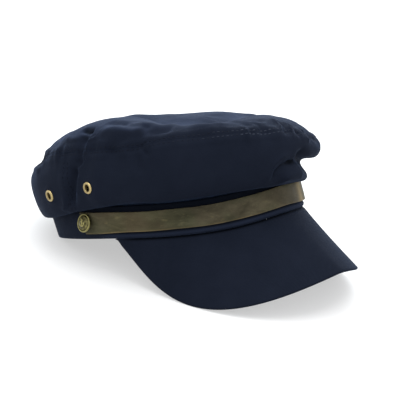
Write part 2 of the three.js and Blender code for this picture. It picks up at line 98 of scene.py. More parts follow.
# The part's large folds: how deep, how far each side reaches, and the path.
FOLDS = {
    "side_crease": (6, 4, (-98, 3.6), (-96, 4.3), (-94.5, 5)),
    "side_crease_top": (3, 3.5, (-91.5, 5.6), (-91, 6.1), (-90.5, 6.5)),
    "side_ridge": (-3, 8, (-85, 3.6), (-84, 4.2), (-83, 4.9), (-82, 5.6), (-80, 6.2), (-76, 6.5)),
    "rim_pinch": (2, 4, (-66, 4.9), (-67, 5.6), (-66, 6.2), (-63, 6.9)),
    "front_notch": (9, 5, (5, 4.5), (14, 4), (36, 3.9), (58, 3.9)),
    "front_roll": (-3, 4, (-5, 3.4), (4, 3.3), (14, 2.9), (36, 2.9), (58, 2.9)),
    "back_dip": (4, 6, (-150, 5.6), (-128, 6.1)),
    "back_crease": (4, 7, (160, 4.4), (163, 5), (168, 6), (174, 7)),
    "left_crease": (4, 7, (103, 3.4), (104, 4.2), (100, 5.4), (96, 6.6)),
    "left_fold": (4, 6, (64, 4.2), (78, 5.2), (84, 6.4)),
    "top_dent": (4, 17, (-150, 8.6), (-20, 9.4), (20, 8.4)),
    "top_fold": (3.5, 11, (70, 7.2), (30, 8.4), (-20, 8.6)),
}
PEAK = Record(
    half_turn=87.6, width=62.6, taper_power=4.3, taper_softness=1.36,
    droop_front=43, droop_end=88, droop_power=1.18, thickness=3,
    steps=42, last_share=0.985,
)
STRAP = Record(
    height=14.3, low_z=5.2, thickness=1.6, past_button=4.3,
    loose_turn=36, loose_spread=24, loose_by=1.2,
)
BUTTON = Record(turn=99, radius=7, rim_height=1.6, dome_height=3, post_radius=1.5)
EYELET = Record(
    places=[("front", 87.5, 41), ("rear", 110.5, 33.5)],
    hole_radius=2.5, barrel_radius=3, flange_radius=4.8, washer_radius=4.3,
    roll_height=1.1,
)
SIDES = [("right", -1), ("left", 1)]

# ---- arrays of points


def vec(x, y, z):
    return np.stack(np.broadcast_arrays(x, y, z), axis=-1).astype(float)


def unit(v):
    return v / np.maximum(np.linalg.norm(v, axis=-1, keepdims=True), 1e-12)


def lerp(a, b, share):
    return a + (b - a) * share


def bump(distance, wide):
    """1 at no distance, falling smoothly to 0 over a few times wide."""
    return np.exp(-((distance / wide) ** 2))


def ease(low, high, value):
    """0 below low, 1 above high, smooth between."""
    t = np.clip((value - low) / (high - low), 0, 1)
    return t * t * (3 - 2 * t)


def along_line(values):
    """Points for noise that changes only along one line of values."""
    return vec(values, 0 * values, 0 * values)


def way_along(points):
    """The way gone at each point of a line."""
    return np.concatenate([[0], np.cumsum(np.linalg.norm(np.diff(points, axis=0), axis=1))])


def cloth_noise(points, size, seed):
    """Smooth noise from -1 to 1 with lumps about size mm across."""
    table = np.random.default_rng(seed).uniform(-1, 1, (32, 32, 32))
    at = np.asarray(points, float) / size
    low = np.floor(at).astype(int)
    t = at - low
    t = t * t * t * (t * (t * 6 - 15) + 10)
    total = np.zeros(at.shape[:-1])
    for corner in np.ndindex(2, 2, 2):
        share = np.prod(np.where(np.array(corner) == 1, t, 1 - t), axis=-1)
        cell = (low + corner) % 32
        total += share * table[cell[..., 0], cell[..., 1], cell[..., 2]]
    return total


# ---- the cap's own frame


def ring(turn):
    """The band's outer line at the hem, and the direction straight out of it."""
    a = np.radians(turn)
    share = 1 + BAND.egg * np.cos(a)
    point = vec(BAND.half_width * np.sin(a) * share, -BAND.half_length * np.cos(a), 0)
    along_x = BAND.half_width * (np.cos(a) * share - BAND.egg * np.sin(a) ** 2)
    along_y = BAND.half_length * np.sin(a)
    return point, unit(vec(along_y, -along_x, 0))


def turn_of(points):
    return np.degrees(np.arctan2(points[..., 0], -points[..., 1]))


def wrapped(turn):
    return (np.asarray(turn, float) + 180) % 360 - 180


def front_lift(turn):
    return BAND.front_lift * bump(wrapped(turn), BAND.lift_spread)


def peak_ruling(turn):
    """The peak's width at a turn, and the directions along it and out of it."""
    share = np.abs(turn) / PEAK.half_turn
    width = PEAK.width * (1 - share ** PEAK.taper_power) ** PEAK.taper_softness
    droop = lerp(PEAK.droop_front, PEAK.droop_end, share ** PEAK.droop_power)
    droop = np.radians(droop)[..., None]
    away = ring(turn)[1]
    fall, flat = np.sin(droop), np.cos(droop)
    return width, away * flat - UP * fall, away * fall + UP * flat


def peak_point(turn, along, deep):
    """A point of the peak: along its ruling from the seam, and deep below its face."""
    start = ring(turn)[0] + vec(0, 0, front_lift(turn) - GAP)
    _, down, normal = peak_ruling(turn)
    return start + down * np.asarray(along)[..., None] - normal * np.asarray(deep)[..., None]


def peak_reach(turn):
    return np.maximum(peak_ruling(turn)[0] - PEAK.thickness / 2, 0.5)


def table_slope():
    """The table touches the back of the hem and the low corners of the peak."""
    span = PEAK.half_turn * PEAK.last_share
    turn = np.linspace(-span, span, PEAK.steps + 1)
    reach = peak_reach(turn)
    edge = reach + PEAK.thickness * 0.4
    found = []
    for along, deep in [(edge, 0.75), (edge, 0.25), (reach, 1), (reach, 0)]:
        p = peak_point(turn, along, np.full_like(turn, deep * PEAK.thickness))
        found.append((-p[:, 2] / (BAND.half_length - p[:, 1])).max())
    return max(found)


TABLE_SLOPE = table_slope()


def hem_sag(turn, y):
    past = np.maximum(np.abs(wrapped(turn)) - BAND.sag_from, 0)
    soft = BAND.sag_share * past ** BAND.sag_power
    return np.minimum(soft, TABLE_SLOPE * (BAND.half_length - y))


def off_band(turn, out, z):
    """A point out mm off the band's face and z above the hem."""
    turn, out, z = np.broadcast_arrays(np.asarray(turn, float), out, z)
    point, away = ring(turn)
    point = point + away * out[..., None]
    on_band = np.clip(z, 0, BAND.height)
    share = 1 - on_band / BAND.height
    lean = lerp(BAND.lean_front, BAND.lean_back, (1 - np.cos(np.radians(turn))) / 2)
    sag = share * hem_sag(turn, point[..., 1])
    return point + vec(0, lean * on_band, z + front_lift(turn) - sag)


def set_down():
    """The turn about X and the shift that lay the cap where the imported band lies."""
    tip = Matrix.Rotation(-math.atan(TABLE_SLOPE), 3, "X")
    turn = np.arange(80) * 4.5 - 180
    corners = [(out, z) for out in (0, -BAND.thickness) for z in (0, BAND.height)]
    own = np.concatenate([off_band(turn, out, z) for out, z in corners]) @ np.array(tip).T
    low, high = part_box("band")
    packed = (np.array(low) + np.array(high)) / 2 / MM
    return np.array(tip), packed - (own.min(0) + own.max(0)) / 2


TIP, SHIFT = set_down()


def to_frame(points):
    return (np.asarray(points, float) @ TIP.T + SHIFT) * MM


def turn_to_frame(direction):
    return np.asarray(direction, float) @ TIP.T


# ---- crown

LIP_EASE = 2.5  # the cloth turns under more softly at the lip than in the part
LET_IN = 0.15  # the crown's inner edge is let into the top of the band by this

SECTIONS = dict(zip(SECTION_COLUMNS, np.array(SECTION_ROWS, float).T))


def section_value(column, any_turn):
    """One column of the sections at any turn, smooth all the way round."""
    turn = wrapped(any_turn)
    turns, values = SECTIONS["turn"], SECTIONS[column]
    count = len(turns)
    at = np.searchsorted(turns, turn, side="right") - 1

    def knot(step):
        n = at + step
        return turns[n % count] + 360 * (n // count), values[n % count]

    (ta, a), (tb, b), (tc, c), (td, d) = [knot(step) for step in (-1, 0, 1, 2)]
    span = tc - tb
    t = (turn - tb) / span
    slope_b = span * (c - a) / (tc - ta)
    slope_c = span * (d - b) / (td - tb)
    return (
        b * (1 - 3 * t**2 + 2 * t**3)
        + c * (3 * t**2 - 2 * t**3)
        + slope_b * (t - 2 * t**2 + t**3)
        + slope_c * (t**3 - t**2)
    )


def smooth_crown(turn, row):
    """The crown's outer face before its folds: a cubic B-spline along the section."""
    turn, row = np.broadcast_arrays(np.asarray(turn, float), np.asarray(row, float))
    shape = turn.shape
    turn, row = turn.ravel(), row.ravel()

    def v(column):
        return section_value(column, turn)

    low, high, rim, crest = (
        off_band(turn, v(f"{name}_out"), v(f"{name}_z")) for name in ("low", "high", "rim", "crest")
    )
    centre = np.array(CROWN.top_centre, float) + 0 * rim

    def top_point(share, height):
        p = lerp(centre, rim, share)
        return vec(p[:, 0], p[:, 1], height)

    height, roll = BAND.height - LET_IN, CROWN.lip_roll / 2
    points = np.stack([
        off_band(turn, -CROWN.grip_in, height),
        off_band(turn, CROWN.grip_out, height + CROWN.grip_out),
        off_band(turn, v("lip_out") - roll, v("lip_z")),
        off_band(turn, v("lip_out") + roll, v("lip_z") + 1 + LIP_EASE),
        low, high, rim, crest,
        top_point(CROWN.middle_share, v("middle_z")),
        top_point(CROWN.inner_share, CROWN.top_centre[2]),
        centre,
    ])
    start = np.minimum(np.floor(row), CENTRE_ROW - 1).astype(int)
    t = row - start
    weights = [
        (1 - t) ** 3 / 6,
        (3 * t**3 - 6 * t**2 + 4) / 6,
        (-3 * t**3 + 3 * t**2 + 3 * t + 1) / 6,
        t**3 / 6,
    ]
    total = np.zeros((len(turn), 3))
    each = np.arange(len(turn))
    for i, weight in enumerate(weights):
        k = np.clip(start - 1 + i, 0, len(points) - 1)
        total += points[k, each] * weight[:, None]
    return total.reshape(*shape, 3)


def crown_normal(turn, row):
    """The direction out of the cloth at a point of the smooth crown."""
    lower = np.maximum(row - 0.02, -1)
    upper = np.minimum(row + 0.02, CENTRE_ROW)
    along = smooth_crown(turn + 0.5, row) - smooth_crown(turn - 0.5, row)
    across = smooth_crown(turn, upper) - smooth_crown(turn, lower)
    normal = unit(np.cross(along, across))
    flat = np.asarray(row) > CENTRE_ROW - 0.05
    return np.where(flat[..., None], UP, normal)


def nearest_on(points, path):
    """Distance from each point to a path, the share along it, the foot there and the
    path's direction at the foot."""
    ends = way_along(path)
    ends = ends / ends[-1]
    best = np.full(points.shape[:-1], np.inf)
    share = np.zeros_like(best)
    foot = np.zeros_like(points)
    ahead = np.zeros_like(points)
    for i, (a, b) in enumerate(zip(path[:-1], path[1:])):
        step = b - a
        t = np.clip(((points - a) @ step) / (step @ step), 0, 1)
        near = a + t[..., None] * step
        away = np.linalg.norm(points - near, axis=-1)
        closer = away < best
        best = np.where(closer, away, best)
        share = np.where(closer, lerp(ends[i], ends[i + 1], t), share)
        foot = np.where(closer[..., None], near, foot)
        ahead = np.where(closer[..., None], unit(step), ahead)
    return best, share, foot, ahead


def crown_path(pairs, steps=1):
    """A path of (turn, row) points as points of the smooth crown, steps per stretch."""
    pairs = np.array(pairs, float)
    at = np.linspace(0, len(pairs) - 1, (len(pairs) - 1) * steps + 1)
    turn = np.interp(at, np.arange(len(pairs)), pairs[:, 0])
    row = np.interp(at, np.arange(len(pairs)), pairs[:, 1])
    return smooth_crown(turn, row)


FOLD_PATHS = [(deep, wide, crown_path(path)) for deep, wide, *path in FOLDS.values()]


def fold_depth(points):
    """How far the part's own folds push the cloth in."""
    return sum(deep * bump(nearest_on(points, path)[0], wide) for deep, wide, path in FOLD_PATHS)


def crown_face(turn, row):
    """The folded outer face of the crown, before its fine wrinkles, and its normal."""
    smooth = smooth_crown(turn, row)
    normal = crown_normal(turn, row)
    return smooth - normal * fold_depth(smooth)[..., None], normal


# ---- pieces


def link(data, name):
    """Puts a mesh, a lamp or a camera into the scene."""
    made = bpy.data.objects.new(name, data)
    bpy.context.scene.collection.objects.link(made)
    return made


def mesh_piece(name, points, faces, uv, material, wear_and_highlight=None, dark=None, sharp_angle=50):
    """A piece from points in the cap's frame. uv gives each point its place on the
    flat cloth, in millimetres. The first of the two shares lightens its colour, for real
    wear and for painted highlights; dark darkens it, for painted shade in folds, under
    edges and at seams, and for a scratch."""
    mesh = bpy.data.meshes.new(name)
    mesh.materials.append(material)
    mesh.from_pydata(to_frame(points).reshape(-1, 3), [], faces)
    layer = mesh.uv_layers.new(name="cloth")
    corner = np.zeros(len(mesh.loops), int)
    mesh.loops.foreach_get("vertex_index", corner)
    layer.data.foreach_set("uv", (np.asarray(uv).reshape(-1, 2)[corner] * MM).ravel())
    for kind, value in (("wear_and_highlight", wear_and_highlight), ("dark", dark)):
        if value is not None:
            share = mesh.attributes.new(kind, "FLOAT", "POINT")
            share.data.foreach_set("value", np.clip(value, 0, 1).ravel())
    mesh.polygons.foreach_set("use_smooth", [True] * len(mesh.polygons))
    mesh.set_sharp_from_angle(angle=math.radians(sharp_angle))
    return link(mesh, name)


def cloth_uv(turn, across, way_round):
    """The place on flat cloth that is way_round long, across from its edge."""
    return np.stack(np.broadcast_arrays(turn / 360 * way_round, across), -1)


def sheet_piece(name, outer, inner, uv, material, painted_light=(None, None), wrap=False):
    """A sheet of cloth between two grids of points, which share their uv."""
    faces = shell_faces(*outer.shape[:2], wrap)
    return mesh_piece(name, np.stack([outer, inner]), faces, np.stack([uv, uv]), material, *painted_light)


def quads(index):
    """The corners of each cell of a grid of indices."""
    corners = [index[:-1, :-1], index[:-1, 1:], index[1:, 1:], index[1:, :-1]]
    return np.stack(corners, -1).reshape(-1, 4)


def shell_faces(rows, columns, wrap):
    """Faces of a closed wall between two grids of rows by columns, the outer first."""
    index = np.arange(rows * columns).reshape(rows, columns)
    if wrap:
        index = np.concatenate([index, index[:, :1]], axis=1)
    outer = quads(index)
    inner = outer[:, ::-1] + rows * columns
    edges = [index[0, :], index[-1, ::-1]]
    if not wrap:
        edges += [index[::-1, 0], index[:, -1]]
    rims = [quads(np.stack([edge, edge + rows * columns]))[:, [1, 0, 3, 2]] for edge in edges]
    return np.concatenate([outer, inner, *rims]).tolist()


def tube_faces(rings, around, closed):
    """Faces of a tube of rings, closed on itself or capped with a fan at both ends."""
    index = np.arange(rings * around).reshape(rings, around)
    index = np.concatenate([index, index[:, :1]], axis=1)
    if closed:
        index = np.concatenate([index, index[:1]], axis=0)
    faces = quads(index)[:, [0, 3, 2, 1]].tolist()
    if not closed:
        faces.append(index[0, :-1].tolist())
        faces.append(index[-1, -2::-1].tolist())
    return faces


def finish_piece(piece, slot, *nodes):
    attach(piece, "root")
    if nodes:
        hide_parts(*nodes)
    return piece


# ---- crown pieces

CLOTH_STEP = 1.0  # the crown's grid, in millimetres
CROWN_ROUND = 620  # about the way round the crown
ROW_LENGTH = 12  # about the length of a row up its side
SIDE_LENGTH = 84  # the way from the band over the lip and up to the rim
TOP_HALF = 105  # half the way over the top
RIM_MARGIN = 0.004  # half the gap at the rim seam, in rows
SIDE_MARGIN = 0.02  # half the gap at a side seam, in degrees
STITCH_OFF = 1.7  # a row of topstitching runs this far to each side of a seam

# Fine creases of the cloth: the kind, how deep into the cloth, so that a ridge is
# negative, how far each side reaches, and the path. "soft" is rounded, "sharp" has an
# edge, and in a "lap" the cloth to the left of the path stands over that to the right.
CREASES = [
    # the lapped fold in front of the side seam, from the top down to the lip
    ("lap", 1.7, 4, (-81.5, 7.3), (-83.5, 6.8), (-85, 6.55), (-88, 6.48), (-88.3, 6.1),
     (-88, 5.6), (-91, 5.3), (-94.5, 5), (-96, 4.5), (-97.5, 3.7)),
    ("soft", -0.9, 2.2, (-92, 4.9), (-93.5, 4.3), (-93.5, 3.6)),
    ("soft", 2.4, 3, (-95, 7), (-90, 6.85), (-86.5, 6.85)),
    ("soft", -0.9, 3, (-104, 6.75), (-98, 6.55), (-92, 6.55)),
    ("soft", -1.3, 2.6, (-128, 6.5), (-122, 6.25), (-116, 6.3)),
    ("soft", 1.2, 2.6, (-132, 6), (-124, 5.85), (-117, 5.8)),
    ("soft", -1.3, 2.6, (-134, 5.5), (-126, 5.45), (-118, 5.3)),
    ("sharp", 2, 2, (-103, 3), (-100, 3.4), (-99, 4.1)),
    ("sharp", -1.1, 1.6, (-106, 2.9), (-103, 3.3), (-101.5, 3.9)),
    ("sharp", 1.2, 1.6, (-96.5, 2.8), (-97, 3.2), (-98, 3.7)),
    # the crease pressed into the side, and the pucker above it
    ("sharp", -1.2, 1.2, (-65, 6.9), (-64.5, 6.3), (-65.5, 5.7), (-66, 5.1), (-66, 4.3)),
    ("sharp", 1.8, 1.8, (-71, 5.75), (-65.5, 5.95), (-61, 6.25)),
    ("sharp", 1.5, 1.6, (-67, 6.25), (-64, 5.8), (-61, 5.35)),
    ("soft", -1.4, 2.4, (-63.5, 6.3), (-62.5, 6), (-60, 5.9)),
    # the puffed cloth between the fold and the pucker
    ("soft", -2, 4, (-85, 6.7), (-77, 6.75), (-68, 6.65), (-60, 6.9)),
    ("sharp", 2.2, 2, (-87, 5.95), (-80, 5.95), (-72, 5.9)),
    ("sharp", 1.8, 1.8, (-82, 6.4), (-75, 6.25), (-69, 6.35)),
    ("sharp", 1.4, 1.6, (-86, 6.2), (-81, 6.15), (-77, 6.2)),
    ("sharp", -1.2, 2, (-79, 6.35), (-76, 6.1), (-75, 5.8)),
    # pleats over the rim at the front
    ("sharp", -1.6, 1.9, (0, 6.9), (-3, 6.3), (-8, 5.7)),
    ("sharp", 1.6, 1.8, (2.5, 6.8), (0, 6.2), (-5, 5.7)),
    ("sharp", -1.4, 1.8, (5, 6.7), (2.5, 6.1), (0, 5.5)),
    ("sharp", 1.4, 1.8, (8, 6.6), (6, 6.1), (4, 5.6)),
    ("sharp", -1.6, 2, (15, 6.5), (12.5, 6), (10.5, 5.4)),
    ("sharp", 1.4, 2, (19, 6.4), (16, 5.9), (14, 5.4)),
    # the fold that curls round the front of the crown
    ("sharp", 2.2, 2.2, (-11, 2.6), (-12.3, 3.3), (-11.5, 3.8), (-8, 4.15), (-3, 4.3), (8, 4.2)),
    ("sharp", -1.6, 1.8, (-14, 2.9), (-14.5, 3.6), (-12, 4.25), (-8, 4.6), (-2, 4.8)),
    ("soft", 2.6, 2.4, (-7, 4.2), (-1, 4.25), (6, 4.15), (14, 4)),
    ("soft", -2.6, 4.5, (-10, 3.3), (-3, 3.6), (3, 3.7), (9, 3.6)),
    # the crumpled edge of the top
    ("soft", -0.7, 5, (-92, 7.8), (-85, 7.5), (-78, 7.3), (-71, 7.2)),
    ("soft", 1.5, 4, (-84, 7.2), (-77, 7.1), (-70, 7.1)),
    ("soft", -1.6, 5, (-70, 7.3), (-58, 7), (-47, 7.15)),
    ("soft", 1.3, 4, (-66, 6.7), (-57, 6.55), (-50, 6.7)),
    ("soft", -1.3, 4.5, (-46, 6.9), (-36, 6.6), (-27, 6.75)),
    ("soft", 1.3, 4.5, (-42, 7.5), (-33, 7), (-26, 7.05)),
    ("soft", -1.3, 4, (-24, 7.2), (-17, 6.7), (-11, 6.6)),
    ("soft", 1.2, 4, (-18, 7.3), (-11, 6.95), (-6, 6.5)),
    ("soft", -0.8, 7, (-95, 8.3), (-78, 8.1), (-60, 8.3)),
    ("soft", -2.8, 14, (-112, 7.2), (-135, 7.4), (-160, 7.9), (-185, 8.4), (-210, 8.8), (-240, 9.2)),
    ("soft", 1.3, 12, (72, 8.3), (52, 8.3), (32, 8.5)),
    # the hidden half, creased as the seen one is
    ("soft", -1.2, 5, (62, 7.3), (70, 6.9), (80, 6.8)),
    ("soft", 1.4, 4.5, (50, 6.7), (62, 6.5), (74, 6.9)),
    ("lap", 1.2, 5, (128, 6.9), (124, 6.3), (122, 5.4), (125, 4.4), (123, 3.6)),
    ("sharp", -0.8, 2, (96, 6.7), (93, 6.1), (92, 5.4)),
    ("sharp", 0.9, 2, (82, 6.6), (79, 6), (80, 5.3)),
    ("soft", 1.6, 5, (-168, 6.9), (-160, 6.3), (-156, 5.5)),
    ("soft", -1.3, 5, (172, 7.2), (184, 6.6), (190, 6)),
    ("sharp", -0.8, 2.2, (150, 6.8), (146, 6.2), (147, 5.5)),
    ("sharp", 1, 2.4, (-140, 6.7), (-137, 6.1), (-139, 5.3)),
]

CREASE_PATHS = [(kind, deep, wide, crown_path(path, 3)) for kind, deep, wide, *path in CREASES]


def crease_depth(points, normal):
    """How far the fine creases push the cloth in. Each fades out at its ends."""
    depth = 0
    for kind, deep, wide, path in CREASE_PATHS:
        away, share, foot, ahead = nearest_on(points, path)
        fade = ease(0, 0.25, share) * ease(0, 0.25, 1 - share)
        shape = bump(away, wide) if kind == "soft" else np.exp(-away / wide)
        if kind == "lap":
            left = np.sum(np.cross(normal, ahead) * (points - foot), axis=-1)
            shape = (0.45 - 1.45 * ease(-0.8, 0.8, left)) * shape
        depth = depth + deep * fade * shape
    return depth


def crumples(points, size, seed):
    """Crumpled cloth: soft hollows between ridges, from about -0.6 to 1."""
    drift = np.stack([cloth_noise(points, size * 1.7, seed + i) for i in (1, 2, 3)], -1)
    return 1 - 4 * np.abs(cloth_noise(points + drift * size * 0.5, size, seed)) ** 1.2


def seam_depth(away, along, seed):
    """A topstitched seam: its groove, its turnings, the rows that the stitching draws
    in, and the puckers between them. away is the signed distance from it and along
    the way along it, in millimetres."""
    groove = 0.4 * bump(away, 1.1)
    turnings = -0.5 * (1 - ease(4.5, 8, np.abs(away)))
    rows = 0.25 * bump(np.abs(away) - STITCH_OFF, 0.7)
    pull = 0.75 + 0.6 * cloth_noise(along_line(along), 27, seed)
    wave = cloth_noise(vec(along, away * 0.25, 0 * along), 4.4, seed + 1)
    slack = cloth_noise(vec(along, away * 0.6, 0 * along), 12, seed + 2)
    puckers = (1.15 * pull * wave + 0.9 * slack) * bump(away, 7)
    return groove + turnings + rows + puckers


def crown_detail(turn, row, outer, normal):
    """Everything finer than the part's own folds, as a depth into the cloth."""
    rim = smooth_crown(turn, np.full_like(row, RIM_ROW))
    from_rim = np.sign(row - RIM_ROW) * np.linalg.norm(smooth_crown(turn, row) - rim, axis=-1)
    along_rim = wrapped(turn) / 360 * CROWN_ROUND
    depth = seam_depth(from_rim, along_rim, 11)
    for _, sign in SIDES:
        from_seam = wrapped(turn - sign * CROWN.seam_turn) / 360 * CROWN_ROUND
        on_side = ease(1.2, 2.2, row) * (row <= RIM_ROW)
        depth = depth + 0.6 * on_side * seam_depth(from_seam, row * ROW_LENGTH, 23 + sign)
    depth = depth + crease_depth(outer, normal)
    near_rim = (0.3 + 0.7 * bump(np.maximum(from_rim - 6, 0), 15)) * ease(-12, 3, from_rim)
    depth = depth - 0.5 * near_rim * crumples(outer, 19, 5)
    depth = depth - 0.15 * near_rim * crumples(outer, 8, 9)
    depth = depth + 0.5 * cloth_noise(outer, 26, 3) + 0.12 * cloth_noise(outer, 9, 4)
    return depth * ease(-0.6, 1.2, row) * away_from_eyelets(outer)


def wall_at(turn, z):
    """The point of the part's wall at a height, where an eyelet sits, and the normal
    of the folded cloth there."""
    low, high = 2.2, RIM_ROW
    for _ in range(24):
        row = (low + high) / 2
        if crown_face(turn, row)[0][2] < z:
            low = row
        else:
            high = row

    def face(turn_step, row_step):
        return crown_face(turn + turn_step, low + row_step)[0]

    normal = unit(np.cross(face(2, 0) - face(-2, 0), face(0, 0.25) - face(0, -0.25)))
    return face(0, 0), normal


EYELETS = [
    (f"eyelet_{place}_{side}", *wall_at(sign * turn, z))
    for side, sign in SIDES
    for place, turn, z in EYELET.places
]


def away_from_eyelets(points):
    """0 at an eyelet, where the cloth lies pressed flat, 1 away from them."""
    near, far = EYELET.flange_radius - 0.5, EYELET.flange_radius + 5
    return math.prod(ease(near, far, np.linalg.norm(points - at, axis=-1)) for _, at, _ in EYELETS)


def pressed(points, level):
    """The cloth pressed flat at the eyelets, at a level measured along their axes."""
    reach = EYELET.flange_radius
    for _, at, normal in EYELETS:
        offset = points - at
        height = offset @ normal
        across = np.linalg.norm(offset - height[..., None] * normal, axis=-1)
        near = (1 - ease(reach, reach + 4, across)) * (np.abs(height) < 8)
        points = points + normal * ((level - height) * near)[..., None]
    return points


def crown_walls(turn, row):
    """The fine outer and inner faces of the crown's cloth."""
    face, normal = crown_face(turn, row)
    outer = face - normal * crown_detail(turn, row, face, normal)[..., None]
    outer = pressed(outer, 0)
    return outer, pressed(outer - normal * CROWN.thickness, -CROWN.thickness)


def crown_painted_light(turn, row, outer):
    """How the crown's cloth is painted lighter and darker, outer and inner face: a painted
    highlight in patches where it looks up, more towards the back, painted shade in its
    creases and where it turns under at the lip, and the inner face darker throughout."""
    facing = unit(np.cross(np.gradient(outer, axis=1), np.gradient(outer, axis=0)))
    upward = ease(0.45, 0.98, np.abs(facing[..., 2]))
    patches = 0.5 + 0.16 * cloth_noise(outer, 24, 61) + 0.1 * cloth_noise(outer, 7, 62)
    backward = lerp(0.5, 1, ease(-80, -20, outer[..., 1]))
    # painted highlight where the cloth faces up
    wear_and_highlight = upward * patches * ease(6.1, 6.9, row) * backward
    creased = crease_depth(crown_face(turn, row)[0], crown_normal(turn, row))
    # painted shade in the creases and under the lip
    dark = np.maximum(0.8 * ease(0.9, 2.8, creased), 0.85 * ease(2.6, 1.75, row))
    within = np.zeros_like(row)
    return np.stack([wear_and_highlight, within]), np.stack([dark, within + 0.6])


def drill(piece, cuts):
    """Cuts round holes through a piece: each at a point, along an axis, of a radius."""
    for i, (at, along, radius, reach) in enumerate(cuts):
        cutter = bpy.data.meshes.new("drill")
        cutter.materials.append(piece.data.materials[0])
        bm = bmesh.new()
        size = {"radius1": radius * MM, "radius2": radius * MM, "depth": 2 * reach * MM}
        bmesh.ops.create_cone(bm, cap_ends=True, segments=32, **size)
        aim = Vector(turn_to_frame(along)).to_track_quat("Z", "Y").to_matrix().to_4x4()
        bm.transform(Matrix.Translation(Vector(to_frame(at))) @ aim)
        bm.to_mesh(cutter)
        bm.free()
        tool = link(cutter, f"drill_{i}")
        cut = piece.modifiers.new("drill", "BOOLEAN")
        cut.operation, cut.solver, cut.object = "DIFFERENCE", "MANIFOLD", tool
        with bpy.context.temp_override(object=piece, active_object=piece):
            bpy.ops.object.modifier_apply(modifier=cut.name)
        bpy.data.objects.remove(tool)
    return piece


def eyelet_cuts(low_turn, high_turn):
    """Holes for the eyelets whose places lie between two turns."""
    return [
        (at, normal, EYELET.barrel_radius + 0.1, 6)
        for _, at, normal in EYELETS
        if (turn_of(at) - low_turn) % 360 <= high_turn - low_turn
    ]


def crown_piece(name, turn, row, uv, material):
    outer, inner = crown_walls(turn, row)
    return sheet_piece(name, outer, inner, uv, material, crown_painted_light(turn, row, outer))


def side_panel(name, node, from_turn, to_turn, material):
    columns = int((to_turn - from_turn) / 360 * CROWN_ROUND / CLOTH_STEP) + 1
    turn = np.linspace(from_turn + SIDE_MARGIN, to_turn - SIDE_MARGIN, columns)
    row = np.linspace(-1, RIM_ROW - RIM_MARGIN, int(SIDE_LENGTH / CLOTH_STEP))
    row, turn = np.meshgrid(row, turn, indexing="ij")
    uv = cloth_uv(turn, row * ROW_LENGTH, CROWN_ROUND)
    piece = crown_piece(name, turn, row, uv, material)
    drill(piece, eyelet_cuts(from_turn, to_turn))
    return finish_piece(piece, "twill", node)


def top_panel(name, node, material):
    """The top, on a square grid whose squares grow out from its centre to the rim."""
    size = int(TOP_HALF / CLOTH_STEP) * 2 + 1
    line = np.linspace(-1, 1, size)
    b, a = np.meshgrid(line, line, indexing="ij")
    share = np.maximum(np.abs(a), np.abs(b))
    sideways = np.abs(a) >= np.abs(b)
    safe = np.where(share == 0, 1, np.where(sideways, a, b))
    slant = np.where(sideways, b, a) / safe
    quarter = np.where(sideways, np.where(a > 0, 90, -90), np.where(b > 0, 180, 0))
    turn = quarter + np.where(sideways, 45, -45) * slant
    row = CENTRE_ROW - share**0.92 * (CENTRE_ROW - RIM_ROW - RIM_MARGIN)
    piece = crown_piece(name, turn, row, np.stack([a, b], -1) * TOP_HALF, material)
    return finish_piece(piece, "twill", node)


TURNING = 3.5  # the edges turned in at the rim seam reach this far to each side of it
TURNING_THICKNESS = 0.4


def rim_turnings(material):
    """The panels' turned-in edges, which lie flat inside the crown along its rim seam."""
    turn = np.linspace(-180, 180, 720, endpoint=False)
    row = RIM_ROW + np.linspace(-1, 1, 7)[:, None] * TURNING / rim_row_length(turn)
    turn = turn + 0 * row
    normal = crown_normal(turn, row)
    outer = crown_walls(turn, row)[1] - 0.05 * normal
    inner = outer - TURNING_THICKNESS * normal
    uv = cloth_uv(turn, row * ROW_LENGTH, CROWN_ROUND)
    return finish_piece(sheet_piece("rim_turnings", outer, inner, uv, material, wrap=True), "twill")


def rim_row_length(turn):
    """The length of a row of the crown at its rim seam, in millimetres."""
    rim = np.full_like(turn, RIM_ROW)
    return np.linalg.norm(smooth_crown(turn, rim + 0.1) - smooth_crown(turn, rim - 0.1), axis=-1) * 5


STITCH = 2.6  # a stitch's length, and the cloth between two
STITCH_GAP = 1.0
THREAD_RADIUS = 0.27
THREAD_SIDES = 6
THREAD_RINGS = 5
STITCH_HIGHLIGHT = (14, 24)  # the stitches are painted lightest, as a highlight, at this turn to each side, over this width


def thread_rings(spine, out, thick):
    """Rings of points round a thread of half-width thick along its spine."""
    around = np.linspace(0, 2 * math.pi, THREAD_SIDES, endpoint=False)
    beside = unit(np.cross(out, spine[-1] - spine[0]))
    turned = np.cos(around)[:, None, None] * out + np.sin(around)[:, None, None] * beside
    return (spine + turned * thick[:, None]).transpose(1, 0, 2).reshape(-1, 3)


